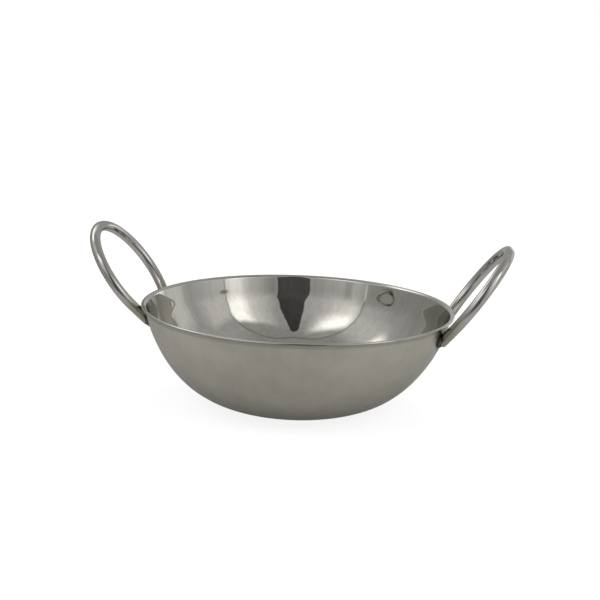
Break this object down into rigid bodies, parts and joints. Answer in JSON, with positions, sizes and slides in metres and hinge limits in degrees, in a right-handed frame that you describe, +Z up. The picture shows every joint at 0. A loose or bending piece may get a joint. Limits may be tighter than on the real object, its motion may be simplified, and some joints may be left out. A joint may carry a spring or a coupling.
{
  "type": "kadai dish",
  "caption": "Open round-bottomed steel cooking and serving dish with a flat turned-out lip and upright wire loop handles welded under it on opposite sides.",
  "frame": {"origin": "middle of the flat base, on the surface that the dish stands on", "axes": "+Z up out of the mouth, +X towards the right loop, +Y to the back, so that both loops lie over the X axis"},
  "size_m": [0.2454, 0.18, 0.0993],
  "materials": {
    "spun_steel": "satin outside, mirror polish inside and on the lip",
    "wire_steel": "drawn wire, polished",
    "weld_steel": "dull weld bead"
  },
  "bodies": {
    "root": {"bowl": "spun_steel", "handle_left": "wire_steel", "handle_right": "wire_steel", "weld_left_front": "weld_steel", "weld_left_back": "weld_steel", "weld_right_front": "weld_steel", "weld_right_back": "weld_steel"}
  },
  "joints": []
}
